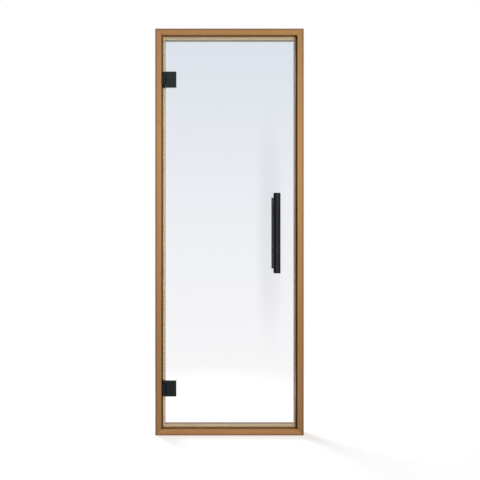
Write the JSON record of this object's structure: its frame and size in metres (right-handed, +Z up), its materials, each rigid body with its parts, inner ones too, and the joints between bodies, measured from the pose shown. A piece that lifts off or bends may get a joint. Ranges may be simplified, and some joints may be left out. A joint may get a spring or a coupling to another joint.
{
  "type": "sauna door",
  "caption": "Clear glass sauna door hung on black clamp hinges in a rebated wooden frame, with a round bar handle on both sides.",
  "frame": {"origin": "middle of the sill rail's underside, half way through the frame's depth", "axes": "+X to the right as seen from outside, towards the latch side; +Y inwards, into the sauna; +Z up"},
  "size_m": [0.69, 0.152, 1.89],
  "materials": {
    "hinge_jamb_wood": "oiled, straight grain",
    "latch_jamb_wood": "oiled, straight grain",
    "head_rail_wood": "oiled, straight grain",
    "sill_rail_wood": "oiled, straight grain",
    "seal": "cream silicone",
    "clear_glass": "clear toughened",
    "hinge_black": "satin powder coat",
    "handle_black": "matt powder coat",
    "pin_steel": "blackened",
    "zinc_steel": "zinc plated",
    "black_rubber": "matt"
  },
  "bodies": {
    "frame": {"hinge_jamb": "hinge_jamb_wood", "latch_jamb": "latch_jamb_wood", "head_rail": "head_rail_wood", "sill_rail": "sill_rail_wood", "hinge_side_seal": "seal", "latch_side_seal": "seal", "head_seal": "seal", "sill_seal": "seal", "upper_hinge_frame_leaf": "hinge_black", "upper_hinge_pin": "pin_steel", "lower_hinge_frame_leaf": "hinge_black", "lower_hinge_pin": "pin_steel"},
    "door_leaf": {"glass_pane": "clear_glass", "handle_upper_stud": "zinc_steel", "handle_lower_stud": "zinc_steel", "outer_handle_bar": "handle_black", "outer_handle_upper_post": "handle_black", "outer_handle_lower_post": "handle_black", "inner_handle_bar": "handle_black", "inner_handle_upper_post": "handle_black", "inner_handle_lower_post": "handle_black", "upper_hinge_front_plate": "hinge_black", "upper_hinge_back_plate": "hinge_black", "upper_hinge_front_pads": "black_rubber", "upper_hinge_back_pads": "black_rubber", "lower_hinge_front_plate": "hinge_black", "lower_hinge_back_plate": "hinge_black", "lower_hinge_front_pads": "black_rubber", "lower_hinge_back_pads": "black_rubber"}
  },
  "joints": [
    {"name": "door_hinge", "type": "hinge", "parent": "frame", "child": "door_leaf", "pos_m": [-0.302, -0.027, 0.9355], "axis": [0, 0, -1], "range_deg": [0, 110]}
  ]
}
